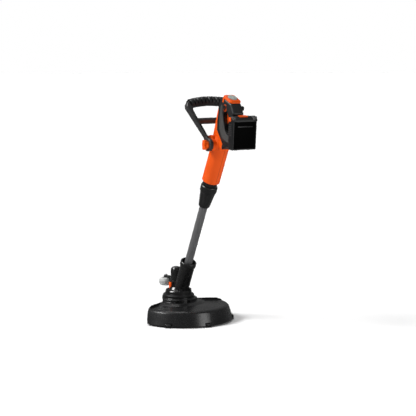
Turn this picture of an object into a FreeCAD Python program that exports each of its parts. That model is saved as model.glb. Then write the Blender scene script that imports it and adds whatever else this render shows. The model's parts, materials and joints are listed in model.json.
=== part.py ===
import FreeCAD, Part
import math
import os
from FreeCAD import Placement, Rotation, Vector

# Battery string trimmer, millimetres, standing as it is used: the spool axis is Z,
# the ground is z = 0, +X points back towards the user and +Y to the user's right.

# Driving dimensions
CUT_RADIUS = 140.0                      # the line cuts a 280 mm circle
GUARD_OFFSET = 34.0                     # centre of the guard's rim, behind the spool axis
GUARD_RADIUS = 147.5                    # rim of the guard skirt about that centre
TUBE_RADIUS = 12.0
BODY_RADIUS = 26.5
LEAN = 25.0                             # lean of the shaft back from the spool axis, degrees
SHAFT_FOOT = 56.0                       # height where shaft and spool axes cross
WALL = 2.6                              # moulded wall
CLEAR = 0.3                             # gap between pieces that move apart
RUN = 0.05                              # radial running clearance of a journal

# Heights of the head, from the ground up
RIM_HEIGHT = 4.5
FLANGE_BASE = 66.0
FLANGE_TOP = 76.0
PLATE_TOP = 90.0
MOTOR_TOP = 140.0
HOUSING_TOP = 143.0

# Motor and gear train
MODULE = 0.8
PINION_TEETH = 9
GEAR_TEETH = 21
MOTOR_X = -MODULE * (PINION_TEETH + GEAR_TEETH) / 2
MOTOR_RADIUS = 14.0
ARMATURE_RADIUS = 10.5
PLATE_RADIUS = 23.0
HOUSING_RADIUS = 17.2
SPINDLE_RADIUS = 4.0

# Places along the shaft axis
TUBE_END = 62.0
SOCKET_TOP = 137.0
SOCKET_RADIUS = 22.0
COLLAR_BASE = 331.0
COLLAR_TOP = 405.0
BODY_BASE = 417.0
BODY_END = 566.0
CAP_SEAT = 678.5
CAP_TOP = 685.0
TUBE_TOP = 500.0

# Handle, in the side view (X, Z)
HANDLE_HALF_WIDTH = 19.0
GRIP_ROUND = 7.0
FOOT_FACE = 306.0
HANDLE_OUTLINE = [(206, 556), (238.5, 652), (251, 675), (264, 681.5), (303, 663.5), (320, 632),
                  (FOOT_FACE, 622), (FOOT_FACE, 546), (246, 528), (222, 522)]
FINGER_HOLE = [(268, 639), (286, 643), (294, 626), (294, 584), (286, 577), (278, 586), (270, 614)]
BAND_OUTLINE = [(257, 658), (266, 658), (265, 640), (269, 614), (277, 586), (284, 575), (301, 567),
                (301, 551), (282, 555), (261, 566), (248, 592), (250, 627)]

# Bail handle
PIVOT = Vector(225, 0, 544)
BAIL_LEAN = -27.0
BAIL_HEIGHT = 136.0
BAIL_HALF_WIDTH = 77.0
GRIP_END_HEIGHT = 130.0
KNOB_RADIUS = 11.5
CROSS_HEIGHT = 74.5

# Battery
BATTERY_TILT = 4.0
BATTERY_FACE = 346.0
BATTERY_WIDTH = 83.0
BATTERY_HEIGHT = 94.0
BATTERY_DEPTH = 25.0
BATTERY_MIDDLE = Vector(BATTERY_FACE - BATTERY_DEPTH / 2, 0, 582)


# Basic shapes

def cylinder(radius, low, high, x=0.0, y=0.0):
    return Part.makeCylinder(radius, high - low, Vector(x, y, low))


def tube(outer, inner, low, high, x=0.0, y=0.0):
    return cylinder(outer, low, high, x, y).cut(cylinder(inner, low - 1, high + 1, x, y))


def cone(low_radius, high_radius, low, high, x=0.0, y=0.0):
    return Part.makeCone(low_radius, high_radius, high - low, Vector(x, y, low))


def pin(radius, x, z, y_from, y_to):
    return Part.makeCylinder(radius, y_to - y_from, Vector(x, y_from, z), Vector(0, 1, 0))


def box(x_from, x_to, y_from, y_to, z_from, z_to):
    return Part.makeBox(x_to - x_from, y_to - y_from, z_to - z_from, Vector(x_from, y_from, z_from))


def rounded_wire(corners, radius):
    """Closed wire through the corner points, each corner turned by a tangent arc."""
    edges = []
    count = len(corners)
    ends = []
    for i in range(count):
        corner = corners[i]
        back = (corners[i - 1] - corner).normalize()
        ahead = (corners[(i + 1) % count] - corner).normalize()
        half_angle = math.acos(max(-1.0, min(1.0, back.dot(ahead)))) / 2
        reach = radius / math.tan(half_angle)
        room = min((corners[i - 1] - corner).Length, (corners[(i + 1) % count] - corner).Length)
        reach = min(reach, room * 0.45)
        bend = reach * math.tan(half_angle)
        middle = (back + ahead).normalize() * (bend / math.sin(half_angle) - bend)
        ends.append((corner + back * reach, corner + middle, corner + ahead * reach))
    for i in range(count):
        start, middle, end = ends[i]
        edges.append(Part.Arc(start, middle, end).toShape())
        edges.append(Part.LineSegment(end, ends[(i + 1) % count][0]).toShape())
    return Part.Wire(edges)


def side_plate(outline, radius, y_from, y_to):
    """Plate with a rounded outline in the side view (X, Z), between two Y values."""
    wire = rounded_wire([Vector(x, y_from, z) for x, z in outline], radius)
    return Part.Face(wire).extrude(Vector(0, y_to - y_from, 0))


def turned(profile, x=0.0, y=0.0):
    """Solid of revolution about a vertical axis from (radius, height) points."""
    points = [Vector(r, 0, z) for r, z in profile]
    face = Part.Face(Part.makePolygon(points + [points[0]]))
    solid = face.revolve(Vector(0, 0, 0), Vector(0, 0, 1), 360)
    solid.translate(Vector(x, y, 0))
    return solid


def fuse(shapes):
    shapes = list(shapes)
    return shapes[0].multiFuse(shapes[1:]).removeSplitter()


def left_half(shape):
    return shape.common(box(-400, 700, -400, 0, -50, 900))


def right_half(shape):
    return shape.common(box(-400, 700, 0, 400, -50, 900))


def on_shaft(shape):
    """Move a shape built along Z from the origin onto the leaning shaft axis."""
    moved = shape.copy()
    moved.transformShape(Placement(Vector(0, 0, SHAFT_FOOT), Rotation(Vector(0, 1, 0), LEAN)).toMatrix())
    return moved


def shaft_point(across, along, side=0.0):
    lean = math.radians(LEAN)
    return Vector(across * math.cos(lean) + along * math.sin(lean), side,
                  SHAFT_FOOT - across * math.sin(lean) + along * math.cos(lean))


def on_bail(shape):
    """Move a shape built in the bail's plane (X thickness, Z height) to its pivot."""
    moved = shape.copy()
    moved.transformShape(Placement(PIVOT, Rotation(Vector(0, 1, 0), BAIL_LEAN)).toMatrix())
    return moved


def on_battery(shape):
    """Move a shape built about the middle of the battery block to its place."""
    moved = shape.copy()
    moved.transformShape(Placement(BATTERY_MIDDLE, Rotation(Vector(0, 1, 0), BATTERY_TILT)).toMatrix())
    return moved


def export(name, shape):
    shape.exportStep("parts/" + name + ".step")


# Gears

def gear(teeth, height, phase, backlash=0.1):
    """Spur gear with involute flanks about Z, from z = 0, one tooth centred on the phase angle."""
    pitch = MODULE * teeth / 2
    base = pitch * math.cos(math.radians(20))
    root = pitch - 1.2 * MODULE
    tip = pitch + 0.95 * MODULE

    def flank_angle(radius):
        if radius < base:
            return 0.0
        roll = math.acos(base / radius)
        return math.tan(roll) - roll

    half_tooth = math.pi / (2 * teeth) - backlash / (2 * pitch) + flank_angle(pitch)
    radii = [root, max(root, base), pitch, tip]
    points = []
    for tooth in range(teeth):
        middle = phase + 2 * math.pi * tooth / teeth
        for radius in radii:
            angle = middle - half_tooth + flank_angle(radius)
            points.append(Vector(radius * math.cos(angle), radius * math.sin(angle), 0))
        for radius in reversed(radii):
            angle = middle + half_tooth - flank_angle(radius)
            points.append(Vector(radius * math.cos(angle), radius * math.sin(angle), 0))
    unique = [p for i, p in enumerate(points) if (p - points[i - 1]).Length > 1e-6]
    return Part.Face(Part.makePolygon(unique + [unique[0]])).extrude(Vector(0, 0, height))


# Cutting head

BUTTON_LOW = 86.0
BUTTON_HIGH = 109.0
WHEEL_X = -71.0
WHEEL_LOW = 90.0
WHEEL_HIGH = 114.0
GEAR_BASE = 78.0
GEAR_HEIGHT = 6.0


def drive_gear():
    wheel = gear(GEAR_TEETH, GEAR_HEIGHT, math.pi + math.pi / GEAR_TEETH)
    wheel.translate(Vector(0, 0, GEAR_BASE))
    return wheel.cut(cylinder(SPINDLE_RADIUS, GEAR_BASE - 1, GEAR_BASE + GEAR_HEIGHT + 1))


def pinion():
    wheel = gear(PINION_TEETH, GEAR_HEIGHT, 0.0)
    wheel.translate(Vector(MOTOR_X, 0, GEAR_BASE))
    return wheel.cut(cylinder(1.15, GEAR_BASE - 1, GEAR_BASE + GEAR_HEIGHT + 1, MOTOR_X))


def motor_shaft():
    return cylinder(1.15, GEAR_BASE - 0.6, MOTOR_TOP - 2, MOTOR_X)


def spindle():
    return fuse([cylinder(SPINDLE_RADIUS, 18, PLATE_TOP - 4.5), cylinder(6.0, 50, 64.5)])


def spindle_bush():
    return tube(8.0, SPINDLE_RADIUS + RUN, FLANGE_BASE - 1, FLANGE_TOP + 1)


def motor_can():
    """Can with its magnets, hollow for the armature, with a plain bearing at each end."""
    can = cylinder(MOTOR_RADIUS, PLATE_TOP, MOTOR_TOP, MOTOR_X)
    nose = cylinder(5.0, PLATE_TOP - 3, PLATE_TOP, MOTOR_X)
    room = cylinder(ARMATURE_RADIUS + 0.5, PLATE_TOP + 2.5, MOTOR_TOP - 3, MOTOR_X)
    return fuse([can, nose]).cut(room).cut(cylinder(1.15 + RUN, PLATE_TOP - 4, MOTOR_TOP - 1.5, MOTOR_X))


def motor_armature():
    """Laminated core and commutator on the motor shaft."""
    core = cylinder(ARMATURE_RADIUS, PLATE_TOP + 6, PLATE_TOP + 30, MOTOR_X)
    commutator = cylinder(4.0, PLATE_TOP + 30, PLATE_TOP + 43, MOTOR_X)
    slots = []
    for i in range(5):
        slot = box(6.5, ARMATURE_RADIUS + 1, -0.7, 0.7, PLATE_TOP + 5, PLATE_TOP + 31)
        slot.rotate(Vector(0, 0, 0), Vector(0, 0, 1), 72 * i)
        slot.translate(Vector(MOTOR_X, 0, 0))
        slots.append(slot)
    return fuse([core, commutator]).cut(fuse(slots)).cut(motor_shaft())


def motor_plate():
    """Plate across the gear chamber that the motor stands on."""
    plate = cylinder(PLATE_RADIUS, PLATE_TOP - 3, PLATE_TOP)
    plate = plate.cut(cylinder(5.0, PLATE_TOP - 4, PLATE_TOP + 1, MOTOR_X))
    return plate.cut(on_shaft(cylinder(19.0, 0, 80))).cut(box(-22, 0, -30, -14, PLATE_TOP - 4, PLATE_TOP + 1))


def head_flange():
    disc = turned([(0, FLANGE_BASE), (46, FLANGE_BASE), (48, FLANGE_BASE + 2), (48, 72), (46.5, 73.5),
                   (43.5, 73.5), (43.5, FLANGE_TOP), (0, FLANGE_TOP)])
    return disc.cut(cylinder(8.0, FLANGE_BASE - 1, FLANGE_TOP + 1))


def head_outside():
    base = turned([(0, FLANGE_TOP), (40, FLANGE_TOP), (40, 83), (38, 86), (31, 89), (27, 96), (0, 96)])
    housing = cylinder(HOUSING_RADIUS, FLANGE_TOP, HOUSING_TOP, MOTOR_X)
    waist = cone(25.0, 18.0, FLANGE_TOP, 112.0, MOTOR_X + 2)
    socket = on_shaft(cylinder(SOCKET_RADIUS, 15, SOCKET_TOP - 15))
    web = box(MOTOR_X, 28, -8, 8, FLANGE_TOP, 128)
    arm_low = WHEEL_HIGH + 1.0
    arm = box(WHEEL_X, MOTOR_X - 10, -7, 7, arm_low, arm_low + 5)
    arm_end = cylinder(7.0, arm_low, arm_low + 5, WHEEL_X)
    brace = side_plate([(-52, arm_low + 4), (-40, arm_low + 9), (-20, arm_low + 9), (-20, 100), (-34, 100),
                        (-42, arm_low)], 3, -7, 7)
    pod = box(-21, 0, -21.5, 0, 80, 113)
    pod = pod.makeFillet(3.0, [e for e in pod.Edges if abs(e.BoundBox.YMin + 21.5) < 0.1])
    outside = fuse([base, housing, waist, socket, web, arm, arm_end, brace, pod])
    return outside.common(box(-100, 150, -100, 100, FLANGE_TOP, 260))


def head_inside():
    chamber = turned([(0, FLANGE_TOP - 1), (36, FLANGE_TOP - 1), (36, FLANGE_TOP + 7),
                      (PLATE_RADIUS, PLATE_TOP - 3), (0, PLATE_TOP - 3)])
    seat = cylinder(PLATE_RADIUS, PLATE_TOP - 4, PLATE_TOP).common(motor_plate())
    motor = cylinder(MOTOR_RADIUS, 86, HOUSING_TOP + 1, MOTOR_X)
    bore = on_shaft(cylinder(TUBE_RADIUS + RUN, TUBE_END - 1, SOCKET_TOP + 1))
    groove = on_shaft(cylinder(16.0 + CLEAR, 68.0, 82.0))
    axle = cylinder(3.0, WHEEL_HIGH, 130, WHEEL_X)
    neck = box(-17, -5, -30, -15, BUTTON_LOW - CLEAR, BUTTON_HIGH + CLEAR)
    pocket = box(-19.5, -2.5, -19.3, -14.2, BUTTON_LOW - 2.3, BUTTON_HIGH + 2.3)
    return [chamber, seat, motor, bore, groove, axle, neck, pocket]


def base_boss(angle):
    """Small upright block on the foot of the head, over one of its screws."""
    boss = box(31, 41, -5, 5, FLANGE_TOP, 93)
    boss = boss.makeFillet(2.0, [e for e in boss.Edges if abs(e.BoundBox.ZMin - 93) < 0.1])
    boss.rotate(Vector(0, 0, 0), Vector(0, 0, 1), angle)
    return boss.cut(cylinder(35.99, FLANGE_TOP - 1, FLANGE_TOP + 7))


BOSS_ANGLES = (-92.0, -22.0, 33.0, 150.0)


def head_shell():
    shell = fuse([head_outside()] + [base_boss(angle) for angle in BOSS_ANGLES])
    for hollow in head_inside():
        shell = shell.cut(hollow)
    return shell


def socket_ring():
    low = SOCKET_TOP - 16
    ring = turned([(SOCKET_RADIUS, low), (SOCKET_RADIUS + 1, low), (24.2, low + 3), (24.2, SOCKET_TOP - 1.5),
                   (22.8, SOCKET_TOP), (20, SOCKET_TOP), (18, low + 4), (18, low + 1),
                   (SOCKET_RADIUS, low + 1)])
    return on_shaft(ring).cut(on_shaft(cylinder(SOCKET_RADIUS, low - 1, low + 1)))


def motor_cap():
    low = HOUSING_TOP
    outside = [(0, low + 13), (8, low + 12.5), (13, low + 10.6), (16, low + 6.5), (HOUSING_RADIUS, low)]
    inside = [(14.4, low), (13.6, low + 5.5), (11.5, low + 8.2), (7, low + 9.8), (0, low + 10.2)]
    return turned(outside + inside, MOTOR_X)


def wheel_axle():
    shank = cylinder(3.0, WHEEL_LOW - 1.4, WHEEL_HIGH + 6.0, WHEEL_X)
    foot = cylinder(6.0, WHEEL_LOW - 2.0, WHEEL_LOW + 1.0 - CLEAR, WHEEL_X)
    head = cylinder(5.0, WHEEL_HIGH + 6.0, WHEEL_HIGH + 8.0, WHEEL_X)
    return fuse([shank, foot, head])


def guide_hub():
    hub = cylinder(11.0, WHEEL_LOW + 1, WHEEL_HIGH - 1, WHEEL_X)
    for i in range(6):
        angle = i * math.pi / 3
        x = WHEEL_X + 8 * math.cos(angle)
        hub = hub.cut(cylinder(2.4, WHEEL_LOW, WHEEL_LOW + 6, x, 8 * math.sin(angle)))
    return hub.cut(cylinder(3.0 + RUN, WHEEL_LOW - 1, WHEEL_HIGH + 1, WHEEL_X))


def guide_tyre():
    low = WHEEL_LOW
    high = WHEEL_HIGH
    tread = turned([(11, low), (14, low), (18.5, low + 2), (21.2, low + 6), (22, low + 12), (21.2, high - 6),
                    (18.5, high - 2), (14, high), (11, high)], WHEEL_X)
    for i in range(20):
        angle = i * math.pi / 10
        groove = cylinder(1.2, low - 1, high + 1, WHEEL_X + 22.3 * math.cos(angle), 22.3 * math.sin(angle))
        tread = tread.cut(groove)
    return tread


def head_release_button():
    neck = box(-16.7, -5.3, -24.5, -17.6, BUTTON_LOW, BUTTON_HIGH)
    neck = neck.makeFillet(1.5, [e for e in neck.Edges if abs(e.BoundBox.YMax + 24.5) < 0.1])
    ribs = [box(-14.5, -7.5, -25.2, -24.0, BUTTON_LOW + z, BUTTON_LOW + z + 1.2)
            for z in (4.4, 8.4, 12.4, 16.4)]
    return fuse([neck, box(-19.0, -3.0, -19.0, -17.6, BUTTON_LOW - 2, BUTTON_HIGH + 2)] + ribs)


# Guard

def guard_plan(inset):
    """Plan of the guard, straight front edges and a round rim, shrunk by an inset."""
    rim = GUARD_RADIUS + 2 - inset
    wedge = [Vector(-6 + inset, -46, 0), Vector(71 + inset, -190, 0), Vector(220, -190, 0),
             Vector(220, 190, 0), Vector(71 + inset, 190, 0), Vector(-6 + inset, 46, 0)]
    plate = Part.Face(Part.makePolygon(wedge + [wedge[0]])).extrude(Vector(0, 0, 90))
    plan = plate.common(cylinder(rim, 0, 90, GUARD_OFFSET))
    corners = [e for e in plan.Edges if e.BoundBox.ZLength > 80 and abs(e.BoundBox.YMin) > 100]
    return plan.makeFillet(24.0 - inset, corners)


def guard_bulk(drop):
    """Solid under the guard's skirt and plate, lowered and pulled in by the wall for the inside."""
    rim = GUARD_RADIUS - drop
    floor = RIM_HEIGHT - 3 * drop
    return turned([(0, floor), (rim, floor), (rim, RIM_HEIGHT), (rim - 11, 38 - drop * 0.6),
                   (rim - 12.5, 42 - drop), (rim - 16, 45.5 - drop), (rim - 22, 47.5 - drop), (0, 50 - drop)],
                  GUARD_OFFSET)


def guard_dome():
    """Raised boss that climbs from the plate to a stepped ring under the flange."""
    return turned([(90, 46), (80, 50), (68, 53.5), (DOME_RING, 55), (DOME_RING, 61), (56, 62.5), (50.5, 63.5),
                   (49.5, FLANGE_BASE), (40, FLANGE_BASE), (40, 59), (53.5, 58.5), (54, 52.5), (67, 50.5),
                   (78, 47), (86, 44.6)])


def guard_lip():
    """Upright rib along both straight front edges, fading into the round rim."""
    strip = guard_plan(0.0).cut(guard_plan(0.0).translated(Vector(LIP_WALL * 1.13, 0, 0)))
    rise = turned([(0, 40), (GUARD_RADIUS - 14, 40), (GUARD_RADIUS - 14, 44), (GUARD_RADIUS - 18, 49.5),
                   (GUARD_RADIUS - 30, LIP_TOP), (0, LIP_TOP)], GUARD_OFFSET)
    return strip.common(rise).cut(cylinder(DOME_RING - 1, 0, 90))


def guard_tab(angle):
    """Small hook moulded on the rim."""
    tab = box(GUARD_RADIUS - 6, GUARD_RADIUS + 1.6, -9, 9, 0, 12)
    tab = tab.makeFillet(1.5, [e for e in tab.Edges if abs(e.BoundBox.XMin - GUARD_RADIUS - 1.6) < 0.1])
    tab.rotate(Vector(0, 0, 0), Vector(0, 0, 1), angle)
    tab.translate(Vector(GUARD_OFFSET, 0, 0))
    return tab


LIP_WALL = 3.0
LIP_TOP = 54.0
DOME_RING = 57.5
CUTTER_ANGLE = -58.0
CUTTER_EDGE = CUT_RADIUS - 1.0


def cutter_boss():
    return box(CUTTER_EDGE + 3, CUTTER_EDGE + 18, -2.6, 0, 12, 48)


TAB_ANGLES = (-52.0, -4.0, 56.0)
RIB_ANGLES = (-48, -24, 0, 24, 48)


def guard():
    outside = guard_bulk(0.0).common(guard_plan(0.0))
    inside = guard_bulk(WALL).common(guard_plan(WALL))
    front = side_plate([(-80, -20), (-80, 40), (24, 40), (34, -20)], 2, -200, 200)
    whole = outside.cut(inside).cut(front).cut(cylinder(66.0, 0, 90))
    whole = whole.fuse(guard_dome().common(guard_plan(0.0)))
    whole = whole.fuse(tube(50.0, 40.0, 58.0, FLANGE_BASE))
    for side in guard_lip().Solids:
        whole = whole.fuse(side)
    for angle in RIB_ANGLES:
        rib = box(50, 126, -1.2, 1.2, 40, 47.5)
        rib.rotate(Vector(0, 0, 0), Vector(0, 0, 1), angle)
        whole = whole.fuse(rib)
    boss = cutter_boss()
    boss.rotate(Vector(0, 0, 0), Vector(0, 0, 1), CUTTER_ANGLE)
    whole = whole.fuse(boss.common(guard_bulk(WALL / 2)))
    for angle in TAB_ANGLES:
        whole = whole.fuse(guard_tab(angle))
    whole = whole.cut(box(DOME_RING - 2.2, DOME_RING + 4, -5, 5, 50, 70))
    for screw in guard_screw_shapes() + cutter_screw_shapes():
        whole = whole.cut(screw)
    return keep_largest(whole)


def guard_screw_shapes():
    screws = []
    for i in range(4):
        angle = math.radians(45 + 90 * i)
        x = 44.0 * math.cos(angle)
        y = 44.0 * math.sin(angle)
        screws.append(cylinder(1.7, 58, 73, x, y).fuse(cylinder(3.4, 54, 58, x, y)))
    return screws


def cutter_screw_shapes():
    screws = []
    for height in (19.0, 28.0):
        screw = pin(1.5, CUTTER_EDGE + 7.5, height, -2.6, 2.0)
        screw = screw.fuse(pin(3.0, CUTTER_EDGE + 7.5, height, 1.2, 3.0))
        screw.rotate(Vector(0, 0, 0), Vector(0, 0, 1), CUTTER_ANGLE)
        screws.append(screw)
    return screws


def line_cutter():
    blade = box(CUTTER_EDGE, CUTTER_EDGE + 10, 0, 1.2, 14, 33)
    edge = box(CUTTER_EDGE - 1, CUTTER_EDGE + 0.8, -1, 0.6, 10, 50)
    blade = blade.cut(edge)
    blade.rotate(Vector(0, 0, 0), Vector(0, 0, 1), CUTTER_ANGLE)
    return blade.cut(fuse(cutter_screw_shapes()))


# Spool

def spool_housing():
    cup = turned([(6, 50), (6, 56), (24, 56), (33, 52), (36, 46), (36, 12), (33.5, 12), (33.5, 45),
                  (31.5, 49.5), (24, 53), (14, 53), (6, 50.5)])
    cup = cup.cut(Part.makeCylinder(3.0, 100, Vector(-50, 0, 30), Vector(1, 0, 0)))
    vents = [box(20, 40, -2, 2, 47, 60) for _ in range(8)]
    for i, vent in enumerate(vents):
        vent.rotate(Vector(0, 0, 0), Vector(0, 0, 1), 22.5 + 45 * i)
    return cup.cut(fuse(vents))


def line_eyelets():
    eyelets = []
    for side in (-1, 1):
        start = Vector(33.5 * side, 0, 30)
        way = Vector(side, 0, 0)
        ring = Part.makeCylinder(3.0, 2.5, start, way)
        ring = ring.fuse(Part.makeCylinder(4.2, 1.2, start + way * 2.5, way))
        eyelets.append(ring.cut(Part.makeCylinder(1.5, 8, start - way, way)))
    return Part.Compound(eyelets)


def line_spool():
    reel = turned([(SPINDLE_RADIUS, 16), (30.5, 16), (30.5, 18.4), (15, 18.4), (15, 41.6), (30.5, 41.6),
                   (30.5, 44), (SPINDLE_RADIUS, 44)])
    middle = turned([(0, 28.9), (29, 28.9), (29, 30.1), (0, 30.1)]).cut(cylinder(15, 28, 31))
    return reel.fuse(middle)


def wound_line():
    """Two lays of nylon line on the reel, shown as ridged rings, with a short end at each eyelet."""
    line = 1.65
    lays = []
    for low in (18.4, 30.1):
        count = int(10.5 / line)
        for i in range(count):
            lays.append(Part.makeTorus(27.0 - line / 2, line / 2, Vector(0, 0, low + line * (i + 0.5) + 0.2)))
        lays.append(tube(27.0 - line / 2, 15, low, low + line * count + 0.4))
    return lays[0].multiFuse(lays[1:])


def spool_cap():
    shell = turned([(0, 0), (15, 0), (19, 3), (20, 8), (33, 9.5), (37.2, 12), (37.2, 20), (36, 20), (36, 12),
                    (30.5, 12), (30.5, 15.8), (28, 15.8), (28, 12), (18, 11), (16, 6), (12, 4), (0, 4)])
    grips = []
    for i in range(12):
        grip = box(35.5, 38.4, -2.2, 2.2, 12.5, 19.5)
        grip.rotate(Vector(0, 0, 0), Vector(0, 0, 1), 30 * i)
        grips.append(grip.cut(cylinder(36, 10, 22)))
    return fuse([shell] + grips)


def spool_screw():
    return cylinder(2.5, 5, 18).fuse(cylinder(6.5, 8, 16)).fuse(cylinder(5, 4.5, 8))


# Shaft

def shaft_tube():
    return on_shaft(tube(TUBE_RADIUS, TUBE_RADIUS - 1.2, TUBE_END, TUBE_TOP))


def swivel_collar():
    ring = tube(16.0, TUBE_RADIUS, 68.0 + CLEAR, 82.0 - CLEAR)
    for i in range(2):
        notch = box(13.6, 17, -3, 3, 60, 75)
        notch.rotate(Vector(0, 0, 0), Vector(0, 0, 1), 90 + 180 * i)
        ring = ring.cut(notch)
    return on_shaft(ring)


def tube_plug():
    plug = cylinder(TUBE_RADIUS - 1.2, TUBE_TOP - 14, TUBE_TOP)
    return on_shaft(plug.fuse(cylinder(TUBE_RADIUS, TUBE_TOP, TUBE_TOP + 2)).cut(cylinder(5, 480, 510)))


def lock_collar():
    """Twist collar: a faceted nut that widens into a plain band."""
    lower = [Part.makePolygon([Vector(r * math.cos(math.pi * i / 4), r * math.sin(math.pi * i / 4), z)
                               for i in range(9)])
             for r, z in ((18.0, COLLAR_BASE + 4), (23.5, COLLAR_BASE + 50))]
    nut = Part.makeLoft(lower, True)
    nose = cone(15.5, 17.5, COLLAR_BASE, COLLAR_BASE + 8)
    core = cone(16.6, 22.5, COLLAR_BASE + 6, COLLAR_BASE + 52)
    band = turned([(0, COLLAR_BASE + 48), (22.5, COLLAR_BASE + 48), (25, COLLAR_BASE + 52),
                   (25, COLLAR_TOP - 5), (23.5, COLLAR_TOP - 2), (0, COLLAR_TOP - 2)])
    whole = fuse([nut, nose, core, band])
    whole = whole.cut(cylinder(TUBE_RADIUS + CLEAR, COLLAR_BASE - 1, COLLAR_BASE + 30))
    whole = whole.cut(cylinder(18.0 + RUN, COLLAR_BASE + 30, COLLAR_TOP))
    return on_shaft(whole)


def tube_guide():
    """Sleeve inside the body that carries the sliding tube, with the seat for the collar."""
    sleeve = cylinder(16.0, COLLAR_BASE + 40, BODY_BASE + 110)
    neck = cylinder(18.0, COLLAR_BASE + 40, COLLAR_TOP + 4)
    seat = cylinder(21.5, COLLAR_TOP - 1, BODY_BASE + 6)
    return on_shaft(fuse([sleeve, neck, seat]).cut(cylinder(TUBE_RADIUS + RUN, COLLAR_BASE, BODY_BASE + 130)))


def clamp_jaws():
    """Split cone that the collar closes on the tube."""
    jaws = tube(17.2, TUBE_RADIUS + RUN, COLLAR_BASE + 32, COLLAR_BASE + 39.5)
    for i in range(4):
        slit = box(11, 19, -0.8, 0.8, COLLAR_BASE + 30, COLLAR_BASE + 37)
        slit.rotate(Vector(0, 0, 0), Vector(0, 0, 1), 45 + 90 * i)
        jaws = jaws.cut(slit)
    return on_shaft(jaws.fuse(tube(16.0, TUBE_RADIUS + RUN, COLLAR_BASE + 39.5, COLLAR_BASE + 40)))


# Handle

def handle_block():
    """Grip loop and battery foot before the shells are cut out of it."""
    block = side_plate(HANDLE_OUTLINE, 8, -HANDLE_HALF_WIDTH, HANDLE_HALF_WIDTH)
    sides = [e for e in block.Edges if e.BoundBox.YLength < 0.01]
    block = block.makeFillet(GRIP_ROUND, sides)
    hole = side_plate(FINGER_HOLE, 6, -40, 40)
    return block.cut(hole)


def body_cylinder(grow=0.0):
    radius = BODY_RADIUS + grow
    barrel = turned([(0, BODY_BASE), (radius - 1.5, BODY_BASE), (radius, BODY_BASE + 1.5),
                     (radius, BODY_END - 22), (radius - 6, BODY_END - 4), (0, BODY_END)])
    return on_shaft(barrel)


def spine_region():
    """Region in front of the grip that belongs to the body shells."""
    outline = [(150, 500), (246, 500), (262, 548), (236, 586), (237, 610), (244, 640), (240, 662), (150, 662)]
    return side_plate(outline, 5, -40, 40)


def pivot_lug(side):
    lug = pin(17.0, PIVOT.x, PIVOT.z, 0, 36.0)
    lug = lug.makeFillet(3.0, [e for e in lug.Edges if abs(e.BoundBox.YMin - 36.0) < 0.1])
    web = side_plate([(PIVOT.x - 16, PIVOT.z + 4), (PIVOT.x - 24, PIVOT.z + 24), (PIVOT.x, PIVOT.z + 28),
                      (PIVOT.x + 16, PIVOT.z - 2)], 6, 0, 31.0)
    lug = lug.fuse(web)
    if side < 0:
        lug = lug.mirror(Vector(0, 0, 0), Vector(0, 1, 0))
    return lug


def housing_screw_places():
    places = []
    for along in (428.0, 528.0):
        for across in (-20.5, 20.5):
            places.append(shaft_point(across, along))
    for x, z in ((246, 650), (302, 634), (297, 560)):
        places.append(Vector(x, 0, z))
    return places


def housing_screws():
    screws = []
    for place in housing_screw_places():
        screws.append(pin(1.5, place.x, place.z, -9, 6).fuse(pin(2.9, place.x, place.z, 6, 8)))
    return screws


def handle_hollows():
    """What both housings leave room for."""
    sleeve = on_shaft(cylinder(16.0, BODY_BASE - 20, BODY_BASE + 110))
    seat = on_shaft(cylinder(21.5, BODY_BASE - 20, BODY_BASE + 6))
    run = on_shaft(cylinder(TUBE_RADIUS + 1.5, BODY_BASE, BODY_END - 8))
    switch = box(238, 263, -8.5, 8.5, 594, 634)
    trigger = side_plate(TRIGGER_ROOM, 2, -7, 7)
    dial = on_shaft(cylinder(3.0 + RUN, CAP_SEAT - 5, CAP_TOP, DIAL_ACROSS))
    lock = pin(5.0 + CLEAR, LOCK_PLACE.x, LOCK_PLACE.z, -40, 40)
    lock_room = pin(7.0 + CLEAR, LOCK_PLACE.x, LOCK_PLACE.z, -8, 8)
    bores = [pin(5.0, PIVOT.x, PIVOT.z, 18, 60), pin(5.0, PIVOT.x, PIVOT.z, -60, -18)]
    heads = [pin(3.2, p.x, p.z, 8, 60) for p in housing_screw_places()]
    inner = [sleeve, seat, run, switch, trigger, dial, lock, lock_room, trigger_pin()]
    return inner + bores + heads + housing_screws()


TRIGGER_PIVOT = Vector(258, 0, 638)
TRIGGER_OUTLINE = [(253, 643), (262, 643), (266, 635), (280, 629), (283, 622), (277, 608), (266, 603),
                   (262, 604), (264, 616), (262, 630), (253, 633)]
TRIGGER_ROOM = [(250, 645.5), (263, 645.5), (290, 640), (290, 598), (262, 598), (254, 606),
                (254, 626), (250, 632)]
LOCK_PLACE = Vector(277, 0, 653)


def handle_pieces():
    block = handle_block()
    barrel = body_cylinder()
    region = spine_region()
    lugs = pivot_lug(1).fuse(pivot_lug(-1))
    body = barrel.fuse(block.common(region)).fuse(lugs)
    frame = block.cut(region).cut(barrel).cut(lugs)
    for hollow in handle_hollows():
        body = body.cut(hollow)
        frame = frame.cut(hollow)
    band = side_plate(BAND_OUTLINE, 5, -HANDLE_HALF_WIDTH - 1.2, HANDLE_HALF_WIDTH + 1.2)
    band = band.cut(box(200, 330, -HANDLE_HALF_WIDTH + 2.0, HANDLE_HALF_WIDTH - 2.0, 500, 700))
    band = band.cut(body).cut(barrel)
    frame = frame.cut(band)
    for hollow in handle_hollows():
        band = band.cut(hollow)
    return body, frame, band


def keep_largest(shape):
    return max(shape.Solids, key=lambda solid: solid.Volume)


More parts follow.
